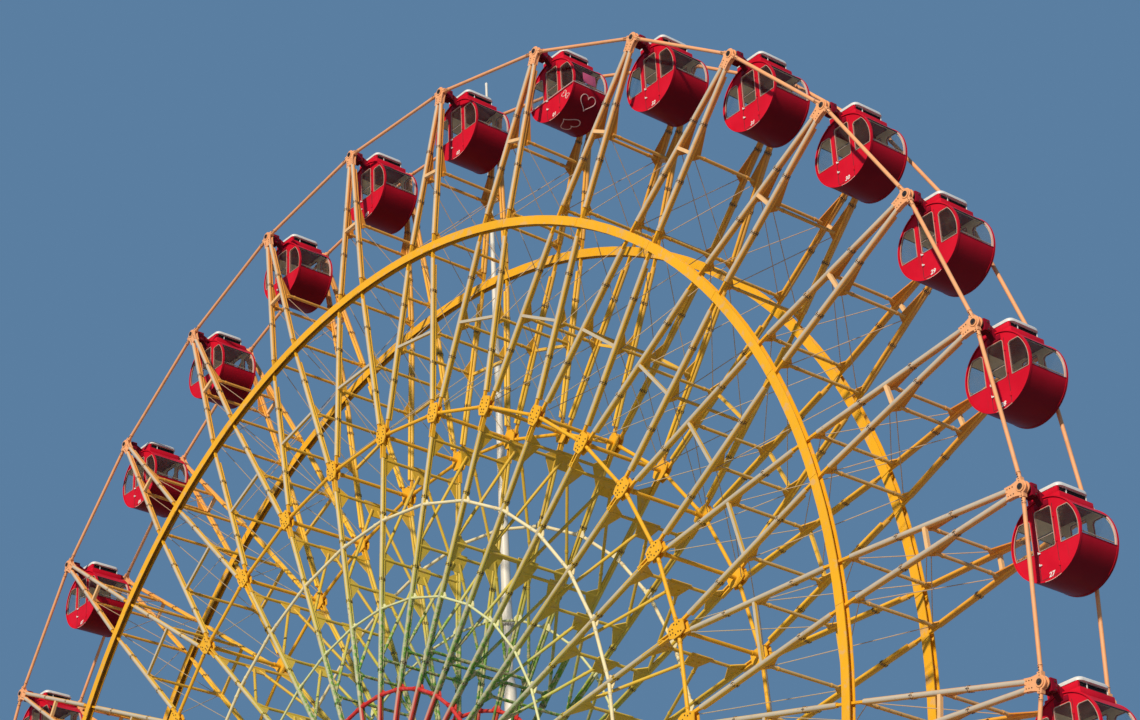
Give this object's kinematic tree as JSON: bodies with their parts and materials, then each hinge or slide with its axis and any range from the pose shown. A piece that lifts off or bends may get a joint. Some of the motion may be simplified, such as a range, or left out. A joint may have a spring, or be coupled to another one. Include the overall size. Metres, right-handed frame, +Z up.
{
  "type": "ferris wheel, half-size scale model",
  "caption": "Big wheel of painted steel tubes on two A-frame towers, with round enclosed red cabins that hang level from the rim, and a mast at the hub.",
  "frame": {"origin": "on the ground, midway between the four feet, under the centre of the wheel", "axes": "+Z up, +Y along the axle towards the mast, +X to the right of a viewer in front of the wheel"},
  "size_m": [23.9516, 8.05, 27.78],
  "materials": {
    "rim_paint": "satin, rust-streaked",
    "truss_paint": "satin, weathered",
    "hub_paint": "satin",
    "steel": "machined",
    "tower_white": "satin, weathered",
    "cabin_red": "gloss"
  },
  "bodies": {
    "tower": {"front_bearing": "tower_white", "front_left_leg": "tower_white", "front_right_leg": "tower_white", "front_tie": "tower_white", "rear_bearing": "tower_white", "rear_left_leg": "tower_white", "rear_right_leg": "tower_white", "rear_tie": "tower_white", "mast": "tower_white"},
    "wheel": {"front_rim": "rim_paint", "back_rim": "rim_paint", "arch_rings": "truss_paint", "front_spokes": "truss_paint", "back_spokes": "truss_paint", "hub": "hub_paint", "front_axle": "steel", "rear_axle": "steel"},
    "cabin_02": {"cabin_02": "cabin_red"},
    "cabin_01": {"cabin_01": "cabin_red"},
    "cabin_32": {"cabin_32": "cabin_red"},
    "cabin_31": {"cabin_31": "cabin_red"},
    "cabin_30": {"cabin_30": "cabin_red"},
    "cabin_29": {"cabin_29": "cabin_red"},
    "cabin_28": {"cabin_28": "cabin_red"},
    "cabin_27": {"cabin_27": "cabin_red"},
    "cabin_26": {"cabin_26": "cabin_red"},
    "cabin_25": {"cabin_25": "cabin_red"},
    "cabin_24": {"cabin_24": "cabin_red"},
    "cabin_23": {"cabin_23": "cabin_red"},
    "cabin_22": {"cabin_22": "cabin_red"},
    "cabin_21": {"cabin_21": "cabin_red"},
    "cabin_20": {"cabin_20": "cabin_red"},
    "cabin_19": {"cabin_19": "cabin_red"},
    "cabin_18": {"cabin_18": "cabin_red"},
    "cabin_17": {"cabin_17": "cabin_red"},
    "cabin_16": {"cabin_16": "cabin_red"},
    "cabin_15": {"cabin_15": "cabin_red"},
    "cabin_14": {"cabin_14": "cabin_red"},
    "cabin_13": {"cabin_13": "cabin_red"},
    "cabin_12": {"cabin_12": "cabin_red"},
    "cabin_11": {"cabin_11": "cabin_red"},
    "cabin_10": {"cabin_10": "cabin_red"},
    "cabin_09": {"cabin_09": "cabin_red"},
    "cabin_08": {"cabin_08": "cabin_red"},
    "cabin_07": {"cabin_07": "cabin_red"},
    "cabin_06": {"cabin_06": "cabin_red"},
    "cabin_05": {"cabin_05": "cabin_red"},
    "cabin_04": {"cabin_04": "cabin_red"},
    "cabin_03": {"cabin_03": "cabin_red"}
  },
  "joints": [
    {"name": "wheel_spin", "type": "hinge", "parent": "tower", "child": "wheel", "pos_m": [0, 0, 14.35], "axis": [0, 1, 0], "continuous": true},
    {"name": "cabin_02_pivot", "type": "hinge", "parent": "wheel", "child": "cabin_02", "pos_m": [1.63229, 0, 25.73357], "axis": [0, 1, 0], "continuous": true},
    {"name": "cabin_01_pivot", "type": "hinge", "parent": "wheel", "child": "cabin_01", "pos_m": [3.82175, 0, 25.19639], "axis": [0, 1, 0], "continuous": true},
    {"name": "cabin_32_pivot", "type": "hinge", "parent": "wheel", "child": "cabin_32", "pos_m": [5.86434, 0, 24.2424], "axis": [0, 1, 0], "continuous": true},
    {"name": "cabin_31_pivot", "type": "hinge", "parent": "wheel", "child": "cabin_31", "pos_m": [7.68157, 0, 22.90824], "axis": [0, 1, 0], "continuous": true},
    {"name": "cabin_30_pivot", "type": "hinge", "parent": "wheel", "child": "cabin_30", "pos_m": [9.2036, 0, 21.2452], "axis": [0, 1, 0], "continuous": true},
    {"name": "cabin_29_pivot", "type": "hinge", "parent": "wheel", "child": "cabin_29", "pos_m": [10.37194, 0, 19.31718], "axis": [0, 1, 0], "continuous": true},
    {"name": "cabin_28_pivot", "type": "hinge", "parent": "wheel", "child": "cabin_28", "pos_m": [11.1417, 0, 17.19827], "axis": [0, 1, 0], "continuous": true},
    {"name": "cabin_27_pivot", "type": "hinge", "parent": "wheel", "child": "cabin_27", "pos_m": [11.48328, 0, 14.9699], "axis": [0, 1, 0], "continuous": true},
    {"name": "cabin_26_pivot", "type": "hinge", "parent": "wheel", "child": "cabin_26", "pos_m": [11.38357, 0, 12.71771], "axis": [0, 1, 0], "continuous": true},
    {"name": "cabin_25_pivot", "type": "hinge", "parent": "wheel", "child": "cabin_25", "pos_m": [10.84639, 0, 10.52825], "axis": [0, 1, 0], "continuous": true},
    {"name": "cabin_24_pivot", "type": "hinge", "parent": "wheel", "child": "cabin_24", "pos_m": [9.8924, 0, 8.48566], "axis": [0, 1, 0], "continuous": true},
    {"name": "cabin_23_pivot", "type": "hinge", "parent": "wheel", "child": "cabin_23", "pos_m": [8.55824, 0, 6.66843], "axis": [0, 1, 0], "continuous": true},
    {"name": "cabin_22_pivot", "type": "hinge", "parent": "wheel", "child": "cabin_22", "pos_m": [6.8952, 0, 5.1464], "axis": [0, 1, 0], "continuous": true},
    {"name": "cabin_21_pivot", "type": "hinge", "parent": "wheel", "child": "cabin_21", "pos_m": [4.96718, 0, 3.97806], "axis": [0, 1, 0], "continuous": true},
    {"name": "cabin_20_pivot", "type": "hinge", "parent": "wheel", "child": "cabin_20", "pos_m": [2.84827, 0, 3.20831], "axis": [0, 1, 0], "continuous": true},
    {"name": "cabin_19_pivot", "type": "hinge", "parent": "wheel", "child": "cabin_19", "pos_m": [0.6199, 0, 2.86672], "axis": [0, 1, 0], "continuous": true},
    {"name": "cabin_18_pivot", "type": "hinge", "parent": "wheel", "child": "cabin_18", "pos_m": [-1.63229, 0, 2.96643], "axis": [0, 1, 0], "continuous": true},
    {"name": "cabin_17_pivot", "type": "hinge", "parent": "wheel", "child": "cabin_17", "pos_m": [-3.82175, 0, 3.50361], "axis": [0, 1, 0], "continuous": true},
    {"name": "cabin_16_pivot", "type": "hinge", "parent": "wheel", "child": "cabin_16", "pos_m": [-5.86434, 0, 4.4576], "axis": [0, 1, 0], "continuous": true},
    {"name": "cabin_15_pivot", "type": "hinge", "parent": "wheel", "child": "cabin_15", "pos_m": [-7.68157, 0, 5.79176], "axis": [0, 1, 0], "continuous": true},
    {"name": "cabin_14_pivot", "type": "hinge", "parent": "wheel", "child": "cabin_14", "pos_m": [-9.2036, 0, 7.4548], "axis": [0, 1, 0], "continuous": true},
    {"name": "cabin_13_pivot", "type": "hinge", "parent": "wheel", "child": "cabin_13", "pos_m": [-10.37194, 0, 9.38282], "axis": [0, 1, 0], "continuous": true},
    {"name": "cabin_12_pivot", "type": "hinge", "parent": "wheel", "child": "cabin_12", "pos_m": [-11.1417, 0, 11.50173], "axis": [0, 1, 0], "continuous": true},
    {"name": "cabin_11_pivot", "type": "hinge", "parent": "wheel", "child": "cabin_11", "pos_m": [-11.48328, 0, 13.7301], "axis": [0, 1, 0], "continuous": true},
    {"name": "cabin_10_pivot", "type": "hinge", "parent": "wheel", "child": "cabin_10", "pos_m": [-11.38357, 0, 15.98229], "axis": [0, 1, 0], "continuous": true},
    {"name": "cabin_09_pivot", "type": "hinge", "parent": "wheel", "child": "cabin_09", "pos_m": [-10.84639, 0, 18.17175], "axis": [0, 1, 0], "continuous": true},
    {"name": "cabin_08_pivot", "type": "hinge", "parent": "wheel", "child": "cabin_08", "pos_m": [-9.8924, 0, 20.21434], "axis": [0, 1, 0], "continuous": true},
    {"name": "cabin_07_pivot", "type": "hinge", "parent": "wheel", "child": "cabin_07", "pos_m": [-8.55824, 0, 22.03157], "axis": [0, 1, 0], "continuous": true},
    {"name": "cabin_06_pivot", "type": "hinge", "parent": "wheel", "child": "cabin_06", "pos_m": [-6.8952, 0, 23.5536], "axis": [0, 1, 0], "continuous": true},
    {"name": "cabin_05_pivot", "type": "hinge", "parent": "wheel", "child": "cabin_05", "pos_m": [-4.96718, 0, 24.72194], "axis": [0, 1, 0], "continuous": true},
    {"name": "cabin_04_pivot", "type": "hinge", "parent": "wheel", "child": "cabin_04", "pos_m": [-2.84827, 0, 25.49169], "axis": [0, 1, 0], "continuous": true},
    {"name": "cabin_03_pivot", "type": "hinge", "parent": "wheel", "child": "cabin_03", "pos_m": [-0.6199, 0, 25.83328], "axis": [0, 1, 0], "continuous": true}
  ],
  "couplings": [
    {"joint": "cabin_02_pivot", "follows": "wheel_spin", "ratio": -1},
    {"joint": "cabin_01_pivot", "follows": "wheel_spin", "ratio": -1},
    {"joint": "cabin_32_pivot", "follows": "wheel_spin", "ratio": -1},
    {"joint": "cabin_31_pivot", "follows": "wheel_spin", "ratio": -1},
    {"joint": "cabin_30_pivot", "follows": "wheel_spin", "ratio": -1},
    {"joint": "cabin_29_pivot", "follows": "wheel_spin", "ratio": -1},
    {"joint": "cabin_28_pivot", "follows": "wheel_spin", "ratio": -1},
    {"joint": "cabin_27_pivot", "follows": "wheel_spin", "ratio": -1},
    {"joint": "cabin_26_pivot", "follows": "wheel_spin", "ratio": -1},
    {"joint": "cabin_25_pivot", "follows": "wheel_spin", "ratio": -1},
    {"joint": "cabin_24_pivot", "follows": "wheel_spin", "ratio": -1},
    {"joint": "cabin_23_pivot", "follows": "wheel_spin", "ratio": -1},
    {"joint": "cabin_22_pivot", "follows": "wheel_spin", "ratio": -1},
    {"joint": "cabin_21_pivot", "follows": "wheel_spin", "ratio": -1},
    {"joint": "cabin_20_pivot", "follows": "wheel_spin", "ratio": -1},
    {"joint": "cabin_19_pivot", "follows": "wheel_spin", "ratio": -1},
    {"joint": "cabin_18_pivot", "follows": "wheel_spin", "ratio": -1},
    {"joint": "cabin_17_pivot", "follows": "wheel_spin", "ratio": -1},
    {"joint": "cabin_16_pivot", "follows": "wheel_spin", "ratio": -1},
    {"joint": "cabin_15_pivot", "follows": "wheel_spin", "ratio": -1},
    {"joint": "cabin_14_pivot", "follows": "wheel_spin", "ratio": -1},
    {"joint": "cabin_13_pivot", "follows": "wheel_spin", "ratio": -1},
    {"joint": "cabin_12_pivot", "follows": "wheel_spin", "ratio": -1},
    {"joint": "cabin_11_pivot", "follows": "wheel_spin", "ratio": -1},
    {"joint": "cabin_10_pivot", "follows": "wheel_spin", "ratio": -1},
    {"joint": "cabin_09_pivot", "follows": "wheel_spin", "ratio": -1},
    {"joint": "cabin_08_pivot", "follows": "wheel_spin", "ratio": -1},
    {"joint": "cabin_07_pivot", "follows": "wheel_spin", "ratio": -1},
    {"joint": "cabin_06_pivot", "follows": "wheel_spin", "ratio": -1},
    {"joint": "cabin_05_pivot", "follows": "wheel_spin", "ratio": -1},
    {"joint": "cabin_04_pivot", "follows": "wheel_spin", "ratio": -1},
    {"joint": "cabin_03_pivot", "follows": "wheel_spin", "ratio": -1}
  ]
}
